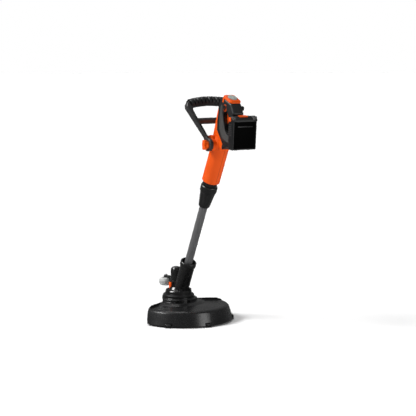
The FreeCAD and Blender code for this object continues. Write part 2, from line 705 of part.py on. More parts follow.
def foot_rails():
    """Slide rails on the rear of the foot that the battery hangs on."""
    plate = box(-BATTERY_DEPTH / 2 - 15.5, -BATTERY_DEPTH / 2 - 11, -27, 27, -40, 42)
    lips = [box(-BATTERY_DEPTH / 2 - 11, -BATTERY_DEPTH / 2 - 5, -16, 16, -38, 40),
            box(-BATTERY_DEPTH / 2 - 5, -BATTERY_DEPTH / 2 - 2, -21, 21, -38, 40)]
    web = box(-BATTERY_DEPTH / 2 - 22, -BATTERY_DEPTH / 2 - 15, -17, 17, -34, 40)
    return on_battery(fuse([plate, web] + lips))


def terminal_block():
    block = box(-BATTERY_DEPTH / 2 - 2, -BATTERY_DEPTH / 2 - 0.8, -12, 12, 10, 36)
    blades = [box(-BATTERY_DEPTH / 2 - 0.8, -BATTERY_DEPTH / 2 - 0.4, y - 1.5, y + 1.5, 12, 34)
              for y in (-8, 0, 8)]
    return on_battery(fuse([block] + blades))


def top_cap():
    half = HANDLE_HALF_WIDTH + 0.8
    front = -27.0
    rear = 18.5
    block = box(front, rear, -half, half, CAP_SEAT, CAP_TOP)
    lobe = box(front, front + 13, -half, half, CAP_SEAT - 13, CAP_TOP)
    cap = block.fuse(lobe).removeSplitter()
    uprights = [e for e in cap.Edges if e.BoundBox.ZLength > 4 and e.BoundBox.YLength < 0.1
                and e.BoundBox.XLength < 0.1]
    cap = cap.makeFillet(10.0, [e for e in uprights if abs(e.BoundBox.XMin - front) < 0.1
                                or abs(e.BoundBox.XMin - rear) < 0.1])
    cap = cap.makeFillet(5.0, [e for e in cap.Edges if abs(e.BoundBox.ZMin - CAP_TOP) < 0.1])
    cap = cap.cut(cylinder(DIAL_RADIUS + CLEAR, CAP_TOP - 5, CAP_TOP + 1, DIAL_ACROSS))
    cap = cap.cut(cylinder(3.0 + RUN, CAP_SEAT - 20, CAP_TOP, DIAL_ACROSS))
    return on_shaft(cap)


DIAL_RADIUS = 13.5
DIAL_ACROSS = -5.0


def speed_dial():
    disc = cylinder(DIAL_RADIUS, CAP_TOP - 5 + CLEAR, CAP_TOP + 2.2, DIAL_ACROSS)
    disc = disc.makeFillet(1.2, [e for e in disc.Edges if abs(e.BoundBox.ZMin - CAP_TOP - 2.2) < 0.1])
    for i in range(24):
        angle = 2 * math.pi * i / 24
        across = DIAL_ACROSS + 13.7 * math.cos(angle)
        notch = cylinder(0.7, CAP_TOP - 1, CAP_TOP + 3, across, 13.7 * math.sin(angle))
        disc = disc.cut(notch)
    bar = box(DIAL_ACROSS - 9, DIAL_ACROSS + 9, -1.8, 1.8, CAP_TOP + 2.0, CAP_TOP + 4.0)
    stem = cylinder(3.0, CAP_SEAT - 4, CAP_TOP, DIAL_ACROSS)
    return on_shaft(fuse([disc, bar, stem]))


def switch_module():
    return box(239, 252, -8.2, 8.2, 595, 633).fuse(box(252, 253.6, -3, 3, 606, 614))


def control_board():
    board = box(-11, 11, -0.8, 0.8, TUBE_TOP + 49, BODY_END - 9)
    return on_shaft(board)


def trigger():
    lever = side_plate(TRIGGER_OUTLINE, 3, -6.5, 6.5)
    lever = lever.fuse(pin(4.5, TRIGGER_PIVOT.x, TRIGGER_PIVOT.z, -6.5, 6.5))
    return lever.cut(pin(1.5 + RUN, TRIGGER_PIVOT.x, TRIGGER_PIVOT.z, -10, 10))


def trigger_pin():
    return pin(1.5, TRIGGER_PIVOT.x, TRIGGER_PIVOT.z, -10, 10)


def lock_off_button():
    """Cross button that must be pushed before the trigger will pull."""
    rod = pin(5.0, LOCK_PLACE.x, LOCK_PLACE.z, -HANDLE_HALF_WIDTH - 2.5, HANDLE_HALF_WIDTH - 1)
    return rod.fuse(pin(7.0, LOCK_PLACE.x, LOCK_PLACE.z, -7.6, -4.0))


def strap_lug():
    eye = pin(6.5, 304, 649, HANDLE_HALF_WIDTH, HANDLE_HALF_WIDTH + 4)
    foot = side_plate([(290, 638), (292, 650), (303, 655), (309, 645), (302, 638)], 3, HANDLE_HALF_WIDTH,
                      HANDLE_HALF_WIDTH + 2)
    return fuse([eye, foot]).cut(pin(3.0, 304, 649, 0, 40))


# Bail handle

ARM_Y = 41.5
DISC_INNER = 36.0 + CLEAR
DISC_OUTER = 46.0
DISC_RADIUS = 19.0
KNOB_SEAT = DISC_OUTER - 6.0


def both_sides(shape):
    """The shape and its mirror image on the other side of the machine."""
    return [shape, shape.mirror(Vector(0, 0, 0), Vector(0, 1, 0))]


def bail_arm():
    half = BAIL_HALF_WIDTH
    outline = [(ARM_Y - 5, -4), (ARM_Y + 5, -4), (ARM_Y + 5, 24), (half + 6, 118), (half + 3, 130),
               (half - 10, 138), (half - 26, 139), (half - 26, 124), (half - 16, 118), (half - 12, 108),
               (ARM_Y - 5, 16)]
    wire = rounded_wire([Vector(0, y, z) for y, z in outline], 8)
    arm = Part.Face(wire).extrude(Vector(18, 0, 0))
    arm.translate(Vector(-9, 0, 0))
    arm = arm.makeFillet(3.5, [e for e in arm.Edges if e.BoundBox.XLength < 0.01])
    groove = rounded_wire([Vector(0, y, z) for y, z in ((56, 38), (61, 35), (77, 74), (72, 77))], 2.4)
    cut = Part.Face(groove).extrude(Vector(30, 0, 0))
    for low in (-36.5, 6.5):
        side_cut = cut.copy()
        side_cut.translate(Vector(low, 0, 0))
        arm = arm.cut(side_cut)
    disc = Part.makeCylinder(DISC_RADIUS, DISC_OUTER - DISC_INNER, Vector(0, DISC_INNER, 0), Vector(0, 1, 0))
    disc = disc.makeFillet(2.5, [e for e in disc.Edges if abs(e.BoundBox.YMin - DISC_OUTER) < 0.1])
    return arm.fuse(disc)


def bail_frame():
    half = BAIL_HALF_WIDTH
    start = Vector(0, -half + 16, GRIP_END_HEIGHT)
    arch = Part.Arc(start, Vector(0, 0, BAIL_HEIGHT), Vector(0, half - 16, GRIP_END_HEIGHT)).toShape()
    circle = Part.Wire(Part.makeCircle(11.5, start, arch.tangentAt(arch.FirstParameter)))
    grip = Part.Wire(arch).makePipeShell([circle], True, False)
    cross = Part.makeCylinder(9.0, 2 * (half - 20), Vector(0, -half + 20, CROSS_HEIGHT), Vector(0, 1, 0))
    inner = box(-40, 40, -DISC_INNER, DISC_INNER, -40, 60)
    whole = fuse(both_sides(bail_arm()) + [grip, cross]).cut(inner)
    whole = whole.cut(pin(5.0 + RUN, 0, 0, -60, 60))
    whole = whole.cut(pin(9.0 + CLEAR, 0, 0, KNOB_SEAT, 80))
    whole = whole.cut(pin(KNOB_RADIUS + CLEAR, 0, 0, -80, -KNOB_SEAT))
    return on_bail(whole)


def bail_ribs():
    """Row of soft ribs round the front grip."""
    half = BAIL_HALF_WIDTH
    rise = BAIL_HEIGHT - GRIP_END_HEIGHT
    span = half - 16
    radius = (span * span + rise * rise) / (2 * rise)
    sleeve = []
    count = 9
    for i in range(count):
        y = -span * 0.86 + i * (2 * 0.86 * span) / (count - 1)
        z = BAIL_HEIGHT - radius + math.sqrt(radius * radius - y * y)
        way = Vector(0, math.sqrt(radius * radius - y * y), -y)
        outer = Part.makeCylinder(14.0, 9.6, Vector(0, y, z) - way.normalize() * 4.8, way)
        core = Part.makeCylinder(12.2, 14.0, Vector(0, y, z) - way * 7.0, way)
        sleeve.append(outer.cut(core))
    return on_bail(Part.Compound(sleeve))


def pivot_pins():
    right = pin(5.0, PIVOT.x, PIVOT.z, 19, KNOB_SEAT + 2).fuse(
        pin(9.0, PIVOT.x, PIVOT.z, KNOB_SEAT + CLEAR, DISC_OUTER + 2))
    left = pin(5.0, PIVOT.x, PIVOT.z, -KNOB_SEAT + CLEAR, -19)
    return [right, left]


def bail_button():
    """Winged button in the left pivot that frees the bail to swing."""
    face = -DISC_OUTER - 1.0
    hub = pin(KNOB_RADIUS, PIVOT.x, PIVOT.z, face - 5.0, face + 4.0)
    wing = side_plate([(-7, -14), (5, -14), (7.5, -8), (4, 0), (7.5, 8), (5, 14), (-7, 14), (-9, 0)],
                      3, face - 11.0, face - 3.5)
    wing.translate(Vector(PIVOT.x, 0, PIVOT.z))
    wing = wing.makeFillet(1.5, [e for e in wing.Edges if abs(e.BoundBox.YMax - face + 11.0) < 0.1])
    return hub.fuse(wing)


# Battery

def battery_case():
    half = BATTERY_WIDTH / 2
    tall = BATTERY_HEIGHT / 2
    deep = BATTERY_DEPTH / 2
    side = [(-deep + 5, -tall), (deep, -tall), (deep, tall - 10), (deep - 11, tall), (-deep + 5, tall)]
    block = side_plate(side, 2.5, -half, half)
    block = block.makeFillet(3.0, [e for e in block.Edges if e.BoundBox.YLength < 0.01])
    inner = [(-deep + 4, -tall + WALL), (deep - WALL, -tall + WALL), (deep - WALL, tall - 11.5),
             (deep - 12, tall - WALL), (-deep + 4, tall - WALL)]
    pocket = side_plate(inner, 1, -half + WALL, half - WALL)
    ledge = box(deep - 1.2, deep + 1, -30, 28, 17, 20)
    latch = box(-LATCH_HALF - CLEAR, LATCH_HALF + CLEAR, -14.3, 14.3, tall - 6, tall + 1)
    feet = [box(-4, 4, y - 5, y + 5, -tall - 1.5, -tall + 1) for y in (-22, 22)]
    ears = []
    for y in (-half + 5.5, half - 5.5):
        ear = side_plate([(-2, tall - 8), (-2, tall + 1), (3, tall + 1), (deep + 1.4, tall - 9),
                          (deep + 1.4, tall - 15)], 2, y - 5.5, y + 5.5)
        ears.append(ear.makeFillet(2.0, [e for e in ear.Edges if e.BoundBox.YLength < 0.01]).cut(pocket))
    return on_battery(fuse([block.cut(pocket)] + feet + ears).cut(ledge).cut(latch))


LATCH_HALF = 4.5


def battery_lid():
    """Front of the battery case with the guide channel for the rails."""
    half = BATTERY_WIDTH / 2 - 9.5
    tall = BATTERY_HEIGHT / 2
    deep = BATTERY_DEPTH / 2
    lid = box(-deep, -deep + 5, -half, half, -tall, tall)
    lid = lid.makeFillet(5.0, [e for e in lid.Edges if e.BoundBox.XLength > 2.9])
    cheeks = [box(-deep - 10.7, -deep, -28, -21.3, -42, 42), box(-deep - 10.7, -deep, 21.3, 28, -42, 42),
              box(-deep - 10.7, -deep - 5.3, -21.3, -16.3, -42, 42),
              box(-deep - 10.7, -deep - 5.3, 16.3, 21.3, -42, 42)]
    room = box(-deep + 3.8, -deep + 6, -half + 3, half - 3, -tall + 3, tall - 3)
    return on_battery(fuse([lid] + cheeks).cut(room))


def battery_cells():
    cells = []
    for i in range(5):
        cells.append(pin(8.3, 0.9, -35.9 + 16.85 * i, -32, 32))
    return [on_battery(cell) for cell in cells]


def cell_holder():
    half = BATTERY_WIDTH / 2 - WALL
    tall = BATTERY_HEIGHT / 2 - WALL
    plates = [box(-7.4, 9.4, y - 3, y + 3, -tall + 1, tall - 10) for y in (-half + 3.2, half - 3.2)]
    return [on_battery(plate) for plate in plates]


def battery_latch():
    tall = BATTERY_HEIGHT / 2
    key = box(-LATCH_HALF, LATCH_HALF, -14, 14, tall - 2.3, tall + 1.8)
    key = key.makeFillet(1.0, [e for e in key.Edges if abs(e.BoundBox.ZMin - tall - 1.8) < 0.1])
    ribs = [box(-3.5, 3.5, y - 0.7, y + 0.7, tall + 1.2, tall + 2.6) for y in (-8, -4, 0, 4, 8)]
    return on_battery(fuse([key] + ribs))


# Write the pieces

os.makedirs("parts", exist_ok=True)

body, frame, band = handle_pieces()
frame = frame.fuse(foot_rails().cut(terminal_block())).cut(top_cap())
for hollow in housing_screws() + [pin(3.2, p.x, p.z, 8, 60) for p in housing_screw_places()]:
    frame = frame.cut(hollow)
body = body.cut(top_cap()).cut(foot_rails())
shell = head_shell()

export("body_shell_left", keep_largest(left_half(body)))
export("body_shell_right", keep_largest(right_half(body)))
export("handle_frame_left", keep_largest(left_half(frame)))
export("handle_frame_right", keep_largest(right_half(frame)))
export("grip_band_left", keep_largest(left_half(band)))
export("grip_band_right", keep_largest(right_half(band)))
export("top_cap", top_cap())
export("tube_guide", tube_guide())
export("clamp_jaws", clamp_jaws())
export("switch_module", switch_module())
export("control_board", control_board())
export("terminal_block", terminal_block())
export("housing_screws", Part.Compound(housing_screws()))
export("trigger_pin", trigger_pin())
export("pivot_pins", Part.Compound(pivot_pins()))
export("strap_lug", strap_lug())
export("lock_collar", lock_collar())
export("shaft_tube", shaft_tube())
export("swivel_collar", swivel_collar())
export("tube_plug", tube_plug())
export("head_shell_left", keep_largest(left_half(shell)))
export("head_shell_right", keep_largest(right_half(shell)))
export("socket_ring", socket_ring())
export("motor_cap", motor_cap())
export("motor_can", motor_can())
export("motor_plate", motor_plate())
export("head_flange", head_flange().cut(fuse(guard_screw_shapes())))
export("spindle_bush", spindle_bush())
export("guard", guard())
export("guard_screws", Part.Compound(guard_screw_shapes()))
export("line_cutter", line_cutter())
export("cutter_screws", Part.Compound(cutter_screw_shapes()))
export("wheel_axle", wheel_axle())
export("head_release_button", head_release_button())
export("motor_shaft", motor_shaft())
export("motor_armature", motor_armature())
export("pinion_gear", pinion())
export("drive_gear", drive_gear())
export("spindle", spindle())
export("spool_housing", spool_housing())
export("line_eyelets", line_eyelets())
export("line_spool", line_spool())
export("wound_line", wound_line())
export("spool_cap", spool_cap())
export("spool_screw", spool_screw())
export("guide_hub", guide_hub())
export("guide_tyre", guide_tyre())
export("bail_frame", bail_frame())
export("bail_grip_ribs", bail_ribs())
export("bail_button", bail_button())
export("trigger", trigger())
export("lock_off_button", lock_off_button())
export("speed_dial", speed_dial())
export("battery_case", battery_case())
export("battery_lid", battery_lid())
export("battery_cells", Part.Compound(battery_cells()))
export("cell_holders", Part.Compound(cell_holder()))
export("battery_latch", battery_latch())
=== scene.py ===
import json
import math

import bmesh
import bpy
from mathutils import Matrix, Vector


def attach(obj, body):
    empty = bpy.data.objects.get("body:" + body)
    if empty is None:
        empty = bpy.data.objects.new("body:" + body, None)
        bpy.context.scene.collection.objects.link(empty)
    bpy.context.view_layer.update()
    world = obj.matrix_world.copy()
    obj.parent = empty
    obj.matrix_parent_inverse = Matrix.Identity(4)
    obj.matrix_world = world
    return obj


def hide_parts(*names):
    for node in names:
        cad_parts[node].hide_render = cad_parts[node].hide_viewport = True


# Battery string trimmer, in metres, in the frame of the CAD model: the spool axis is Z,
# the ground is z = 0, +X points back towards the user and +Y to the user's right.

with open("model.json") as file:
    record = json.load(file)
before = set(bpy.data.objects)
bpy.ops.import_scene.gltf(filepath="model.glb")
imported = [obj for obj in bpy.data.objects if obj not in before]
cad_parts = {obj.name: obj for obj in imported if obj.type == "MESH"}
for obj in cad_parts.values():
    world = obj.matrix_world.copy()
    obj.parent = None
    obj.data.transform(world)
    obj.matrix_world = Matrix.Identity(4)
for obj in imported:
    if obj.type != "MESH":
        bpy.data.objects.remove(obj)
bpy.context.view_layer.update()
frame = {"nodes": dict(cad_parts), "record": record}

MM = 0.001
LEAN = math.radians(25.0)                       # the shaft leans back from the spool axis
SHAFT_FOOT = 56 * MM                            # height where the shaft and spool axes cross
BAIL_PIVOT = Vector((225, 0, 544)) * MM
BAIL_LEAN = math.radians(-27.0)
BATTERY_MIDDLE = Vector((333.5, 0, 582)) * MM
BATTERY_TILT = math.radians(4.0)

ON_SHAFT = Matrix.Translation((0, 0, SHAFT_FOOT)) @ Matrix.Rotation(LEAN, 4, "Y")
ON_BAIL = Matrix.Translation(BAIL_PIVOT) @ Matrix.Rotation(BAIL_LEAN, 4, "Y")
ON_BATTERY = Matrix.Translation(BATTERY_MIDDLE) @ Matrix.Rotation(BATTERY_TILT, 4, "Y")


# Finishes

def new_finish(name):
    material = bpy.data.materials.new(name)
    material.use_nodes = True
    tree = material.node_tree
    return material, tree, tree.nodes["Principled BSDF"]


def add_node(tree, kind, **values):
    """A shader node with its settings and its named input sockets filled in."""
    node = tree.nodes.new(kind)
    for key, value in values.items():
        if hasattr(node, key):
            setattr(node, key, value)
        else:
            node.inputs[key].default_value = value
    return node


def surface_point(tree):
    return add_node(tree, "ShaderNodeTexCoord").outputs["Object"]


def noise(tree, scale, detail=4.0, stretch=(1, 1, 1)):
    """Noise on Object coordinates, stretched along an axis where stretch is small."""
    mapping = add_node(tree, "ShaderNodeMapping")
    mapping.inputs["Scale"].default_value = stretch
    tree.links.new(surface_point(tree), mapping.inputs["Vector"])
    pattern = add_node(tree, "ShaderNodeTexNoise", Scale=scale, Detail=detail)
    tree.links.new(mapping.outputs["Vector"], pattern.inputs["Vector"])
    return pattern.outputs["Fac"]


def remap(tree, value, low, high, to_low, to_high):
    node = add_node(tree, "ShaderNodeMapRange")
    tree.links.new(value, node.inputs["Value"])
    limits = {"From Min": low, "From Max": high, "To Min": to_low, "To Max": to_high}
    for socket, number in limits.items():
        node.inputs[socket].default_value = number
    return node.outputs["Result"]


def maths(tree, operation, first, second):
    node = add_node(tree, "ShaderNodeMath", operation=operation)
    for socket, value in zip(node.inputs, (first, second)):
        if isinstance(value, (int, float)):
            socket.default_value = value
        else:
            tree.links.new(value, socket)
    return node.outputs["Value"]


def mix_colour(tree, amount, first, second):
    node = add_node(tree, "ShaderNodeMix", data_type="RGBA")
    tree.links.new(amount, node.inputs["Factor"])
    for socket, value in ((node.inputs[6], first), (node.inputs[7], second)):
        if isinstance(value, tuple):
            socket.default_value = (*value, 1)
        else:
            tree.links.new(value, socket)
    return node.outputs[2]


def soft_edges(tree, radius):
    """Normals that round an edge off by the radius."""
    return add_node(tree, "ShaderNodeBevel", samples=6, Radius=radius).outputs["Normal"]


def edge_mask(tree, rounded):
    """One along the outer edges, zero on the flats."""
    straight = add_node(tree, "ShaderNodeNewGeometry").outputs["Normal"]
    dot = add_node(tree, "ShaderNodeVectorMath", operation="DOT_PRODUCT")
    tree.links.new(rounded, dot.inputs[0])
    tree.links.new(straight, dot.inputs[1])
    return remap(tree, dot.outputs["Value"], 0.97, 0.80, 0.0, 1.0)


def bumped(tree, height, distance, strength, normal=None):
    node = add_node(tree, "ShaderNodeBump", Strength=strength, Distance=distance)
    tree.links.new(height, node.inputs["Height"])
    if normal is not None:
        tree.links.new(normal, node.inputs["Normal"])
    return node.outputs["Normal"]


LINE_HALF = 0.2 * MM                            # half the width of a parting line
LINE_FADE = 0.5 * MM                            # where the line has faded out


def parting_line(tree):
    """One along the middle plane, where the two halves of a housing meet."""
    across = add_node(tree, "ShaderNodeSeparateXYZ")
    tree.links.new(surface_point(tree), across.inputs["Vector"])
    distance = maths(tree, "ABSOLUTE", across.outputs["Y"], 0)
    return remap(tree, distance, LINE_HALF, LINE_FADE, 1, 0)


def moulded(name, colour, shade, rough, grain=0.12 * MM, edge=0.8 * MM, specular=0.5, worn=None,
            halves=False):
    """Injection moulded plastic: cloudy colour, fine spark texture, scuffed and softened edges.

    A housing made in two halves has a dark parting line along its middle plane.
    """
    material, tree, shader = new_finish(name)
    rounded = soft_edges(tree, edge)
    cloud = noise(tree, 14)
    scuff = remap(tree, noise(tree, 260, 6), 0.55, 0.75, 0, 1)
    base = mix_colour(tree, remap(tree, cloud, 0.3, 0.7, 0, 1), colour, shade)
    patches = remap(tree, noise(tree, 120), 0.35, 0.7, 0.05, 0.7)
    wear = maths(tree, "MULTIPLY", edge_mask(tree, rounded), patches)
    pale = worn or tuple(min(1.0, c * 1.5 + 0.02) for c in colour)
    base = mix_colour(tree, wear, base, pale)
    if halves:
        base = mix_colour(tree, parting_line(tree), base, tuple(0.25 * c for c in colour))
    tree.links.new(base, shader.inputs["Base Color"])
    roughness = maths(tree, "ADD", remap(tree, cloud, 0.3, 0.7, rough - 0.05, rough + 0.06),
                      maths(tree, "MULTIPLY", scuff, 0.10))
    tree.links.new(roughness, shader.inputs["Roughness"])
    tree.links.new(bumped(tree, noise(tree, 1800, 2), grain, 0.5, rounded), shader.inputs["Normal"])
    shader.inputs["Specular IOR Level"].default_value = specular
    return material


def soft_rubber(name, colour, shade, rough, specular=0.4):
    """Overmoulded soft rubber: leathery pebbles and dusty patches."""
    material, tree, shader = new_finish(name)
    rounded = soft_edges(tree, 1.2 * MM)
    cells = add_node(tree, "ShaderNodeTexVoronoi", Scale=900)
    tree.links.new(surface_point(tree), cells.inputs["Vector"])
    dust = remap(tree, noise(tree, 40, 6), 0.4, 0.75, 0, 1)
    tree.links.new(mix_colour(tree, dust, colour, shade), shader.inputs["Base Color"])
    tree.links.new(remap(tree, dust, 0, 1, rough - 0.06, rough + 0.08), shader.inputs["Roughness"])
    tree.links.new(bumped(tree, cells.outputs["Distance"], 0.25 * MM, 0.6, rounded), shader.inputs["Normal"])
    shader.inputs["Specular IOR Level"].default_value = specular
    return material


def brushed_tube(name, colour, shade):
    """Powder coated tube: fine orange peel and long faint rub marks along the shaft."""
    material, tree, shader = new_finish(name)
    mapping = add_node(tree, "ShaderNodeMapping", vector_type="TEXTURE")
    mapping.inputs["Rotation"].default_value = (0, LEAN, 0)
    mapping.inputs["Scale"].default_value = (1, 1, 30)
    tree.links.new(surface_point(tree), mapping.inputs["Vector"])
    marks = add_node(tree, "ShaderNodeTexNoise", Scale=420, Detail=3)
    tree.links.new(mapping.outputs["Vector"], marks.inputs["Vector"])
    rubbed = remap(tree, marks.outputs["Fac"], 0.5, 0.7, 0, 1)
    tree.links.new(mix_colour(tree, rubbed, colour, shade), shader.inputs["Base Color"])
    tree.links.new(remap(tree, rubbed, 0, 1, 0.42, 0.30), shader.inputs["Roughness"])
    shader.inputs["Metallic"].default_value = 0.25
    tree.links.new(bumped(tree, noise(tree, 1300, 2), 0.08 * MM, 0.4), shader.inputs["Normal"])
    return material


def bare_metal(name, colour, shade, rough):
    """Turned or stamped metal with fine scratches and a light tarnish."""
    material, tree, shader = new_finish(name)
    scratch = noise(tree, 900, 4, (1, 1, 0.06))
    tarnish = remap(tree, noise(tree, 60, 6), 0.35, 0.7, 0, 1)
    tree.links.new(mix_colour(tree, tarnish, colour, shade), shader.inputs["Base Color"])
    tree.links.new(remap(tree, scratch, 0.3, 0.7, rough - 0.08, rough + 0.12), shader.inputs["Roughness"])
    shader.inputs["Metallic"].default_value = 1.0
    tree.links.new(bumped(tree, scratch, 0.05 * MM, 0.4, soft_edges(tree, 0.3 * MM)), shader.inputs["Normal"])
    return material


def speckled(name, colour, fleck):
    """Recycled plastic of the guide wheel: pale with dark flecks."""
    material, tree, shader = new_finish(name)
    cells = add_node(tree, "ShaderNodeTexVoronoi", Scale=330)
    tree.links.new(surface_point(tree), cells.inputs["Vector"])
    spots = remap(tree, cells.outputs["Distance"], 0.18, 0.30, 1, 0)
    dirt = remap(tree, noise(tree, 90, 5), 0.45, 0.7, 0, 1)
    amount = maths(tree, "MAXIMUM", spots, maths(tree, "MULTIPLY", dirt, 0.6))
    tree.links.new(mix_colour(tree, amount, colour, fleck), shader.inputs["Base Color"])
    tree.links.new(remap(tree, dirt, 0, 1, 0.5, 0.7), shader.inputs["Roughness"])
    rounded = soft_edges(tree, 0.8 * MM)
    tree.links.new(bumped(tree, noise(tree, 700, 3), 0.2 * MM, 0.5, rounded), shader.inputs["Normal"])
    return material


def nylon_line(name, colour, shade):
    """Glossy cutting line, a little uneven in colour."""
    material, tree, shader = new_finish(name)
    twist = noise(tree, 500, 3)
    mottle = remap(tree, twist, 0.35, 0.65, 0, 1)
    tree.links.new(mix_colour(tree, mottle, colour, shade), shader.inputs["Base Color"])
    tree.links.new(remap(tree, twist, 0.3, 0.7, 0.28, 0.42), shader.inputs["Roughness"])
    tree.links.new(bumped(tree, twist, 0.1 * MM, 0.4), shader.inputs["Normal"])
    return material


def orange_plastic(name, halves=False):
    return moulded(name, (0.76, 0.088, 0.003), (0.67, 0.072, 0.002), 0.46, specular=0.16,
                   worn=(0.85, 0.17, 0.04), halves=halves)


finishes = {
    "orange_shell": orange_plastic("orange_shell"),
    "body_orange": orange_plastic("body_orange", halves=True),
    "black_plastic": moulded("black_plastic", (0.006, 0.006, 0.0065), (0.010, 0.010, 0.0105), 0.34,
                             specular=0.45),
    "frame_black": moulded("frame_black", (0.010, 0.010, 0.0105), (0.015, 0.015, 0.0155), 0.36,
                           halves=True),
    "guard_black": moulded("guard_black", (0.006, 0.006, 0.0065), (0.009, 0.009, 0.0095), 0.24,
                           grain=0.04 * MM, edge=2 * MM),
    "head_black": moulded("head_black", (0.006, 0.006, 0.006), (0.010, 0.010, 0.010), 0.26,
                          grain=0.04 * MM),
    "collar_black": moulded("collar_black", (0.007, 0.007, 0.007), (0.012, 0.012, 0.012), 0.30),
    # black plastic made ten times darker and nearly unreflective: painted shade for the battery's rear face,
    # which faces away from the key light
    "battery_face_shade": moulded("battery_face_shade", (0.0006, 0.0006, 0.0006), (0.001, 0.001, 0.001), 0.6,
                             specular=0.03),
    "dark_grey_plastic": moulded("dark_grey_plastic", (0.024, 0.0235, 0.024), (0.034, 0.033, 0.034), 0.38,
                                 specular=0.55),
    "dial_grey": moulded("dial_grey", (0.34, 0.38, 0.36), (0.28, 0.32, 0.30), 0.4),
    "light_grey_plastic": speckled("light_grey_plastic", (0.62, 0.63, 0.62), (0.13, 0.13, 0.13)),
    "soft_grip": soft_rubber("soft_grip", (0.045, 0.044, 0.043), (0.062, 0.060, 0.058), 0.55),
    "soft_black": soft_rubber("soft_black", (0.010, 0.010, 0.0105), (0.020, 0.020, 0.0205), 0.38),
    # near-black rubber used as painted shade in grooves, slots and recesses
    "painted_shade_black": soft_rubber("painted_shade_black", (0.002, 0.002, 0.002), (0.003, 0.003, 0.003), 0.6, 0.1),
    "grey_tube": brushed_tube("grey_tube", (0.115, 0.115, 0.118), (0.140, 0.140, 0.143)),
    "steel": bare_metal("steel", (0.55, 0.55, 0.56), (0.42, 0.41, 0.40), 0.32),
    "bronze": bare_metal("bronze", (0.50, 0.34, 0.15), (0.38, 0.25, 0.11), 0.36),
    "nylon": moulded("nylon", (0.62, 0.60, 0.52), (0.55, 0.53, 0.45), 0.45, specular=0.45),
    "line": nylon_line("line", (0.80, 0.24, 0.03), (0.68, 0.18, 0.02)),
    "cell_wrap": moulded("cell_wrap", (0.02, 0.12, 0.22), (0.016, 0.10, 0.19), 0.22),
    "board": moulded("board", (0.01, 0.08, 0.025), (0.012, 0.10, 0.03), 0.30),
}

# Nodes whose finish differs from that of their material slot
SPECIAL_FINISH = {
    "speed_dial": "dial_grey",
    "guard": "guard_black",
    "motor_cap": "head_black",
    "socket_ring": "head_black",
}
for half in ("left", "right"):
    SPECIAL_FINISH["head_shell_" + half] = "head_black"
    SPECIAL_FINISH["body_shell_" + half] = "body_orange"
    SPECIAL_FINISH["handle_frame_" + half] = "frame_black"


def finish_cad_nodes():
    for part in frame["record"]["subparts"]:
        node = frame["nodes"][part["node"]]
        finish = finishes[SPECIAL_FINISH.get(part["node"], part["material_slot"])]
        for slot in node.material_slots:
            slot.material = finish


# Making pieces

def place(bm, matrix):
    bmesh.ops.transform(bm, matrix=matrix, verts=bm.verts)


def piece(name, bm, body, slot, finish=None, replaces=(), crease=35):
    """Turn a finished bmesh into an object that rides on a body."""
    bmesh.ops.remove_doubles(bm, verts=bm.verts, dist=1e-6)
    bmesh.ops.recalc_face_normals(bm, faces=bm.faces)
    mesh = bpy.data.meshes.new(name)
    bm.to_mesh(mesh)
    bm.free()
    mesh.shade_smooth()
    mesh.set_sharp_from_angle(angle=math.radians(crease))
    item = bpy.data.objects.new(name, mesh)
    bpy.context.scene.collection.objects.link(item)
    mesh.materials.append(finishes[finish or slot])
    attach(item, body)
    if replaces:
        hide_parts(*replaces)
    return item


def lathe(points, steps=64):
    """Surface of revolution about Z through (radius, height) points in millimetres."""
    bm = bmesh.new()
    verts = [bm.verts.new((radius * MM, 0, height * MM)) for radius, height in points]
    for first, second in zip(verts, verts[1:]):
        bm.edges.new((first, second))
    bmesh.ops.spin(bm, geom=bm.verts[:] + bm.edges[:], cent=(0, 0, 0), axis=(0, 0, 1), angle=math.tau,
                   steps=steps, use_merge=True)
    bmesh.ops.remove_doubles(bm, verts=bm.verts, dist=1e-6)
    return bm


def block(size, centre, round_by, segments=3):
    """Box with rounded edges, sizes in millimetres."""
    bm = bmesh.new()
    bmesh.ops.create_cube(bm, size=1)
    bmesh.ops.scale(bm, vec=Vector(size) * MM, verts=bm.verts)
    bmesh.ops.bevel(bm, geom=bm.edges[:], offset=round_by * MM, segments=segments, affect="EDGES",
                    profile=0.5, material=-1)
    bmesh.ops.translate(bm, vec=Vector(centre) * MM, verts=bm.verts)
    return bm


def joined(parts):
    """One bmesh from several."""
    whole = bmesh.new()
    for part in parts:
        mesh = bpy.data.meshes.new("part")
        part.to_mesh(mesh)
        part.free()
        whole.from_mesh(mesh)
        bpy.data.meshes.remove(mesh)
    return whole


def screw_head(radius, seat):
    """Domed screw head with a cross on its crown, facing up from its seat."""
    bm = lathe([(0, 0.25 * radius), (0.28 * radius, 0.25 * radius), (0.32 * radius, 0.62 * radius),
                (0.75 * radius, 0.5 * radius), (radius, 0.2 * radius), (radius, -0.4 * radius)], 24)
    for turn in (0, math.pi / 2):
        bar = block((0.24 * radius, 1.1 * radius, 0.3 * radius), (0, 0, 0.55 * radius), 0.04 * radius, 1)
        place(bar, Matrix.Rotation(turn, 4, "Z"))
        bm = joined([bm, bar])
    place(bm, Matrix.Translation(Vector(seat) * MM))
    return bm


# Bail handle

GRIP_SPAN = 61.0                                # half the chord of the grip's arch
GRIP_RISE = 6.0
GRIP_TOP = 136.0
ARCH_RADIUS = (GRIP_SPAN ** 2 + GRIP_RISE ** 2) / (2 * GRIP_RISE)
PAD_PITCH = 12.6
PAD_COUNT = 11
SLEEVE_HALF = PAD_PITCH * PAD_COUNT / 2 + 2
SLEEVE_CORE = 11.7                              # radius at the bottom of the grooves
PAD_RISE = 2.9
UNDERSIDE_RISE = 2.0
GROOVE_HALF = 1.2
GROOVE_SLOPE = 1.3
GROOVE_FLOOR = 13.0                             # faces nearer the core than this are groove and get painted shade

ARM_STRIP_MIDDLE = Vector((8.7, 51.1, 48))      # on the right arm's rear face, from the bail pivot
ARM_LEAN = math.radians(19.2)                   # the arms spread towards the grip


def clamped(number):
    return min(1.0, max(0.0, number))


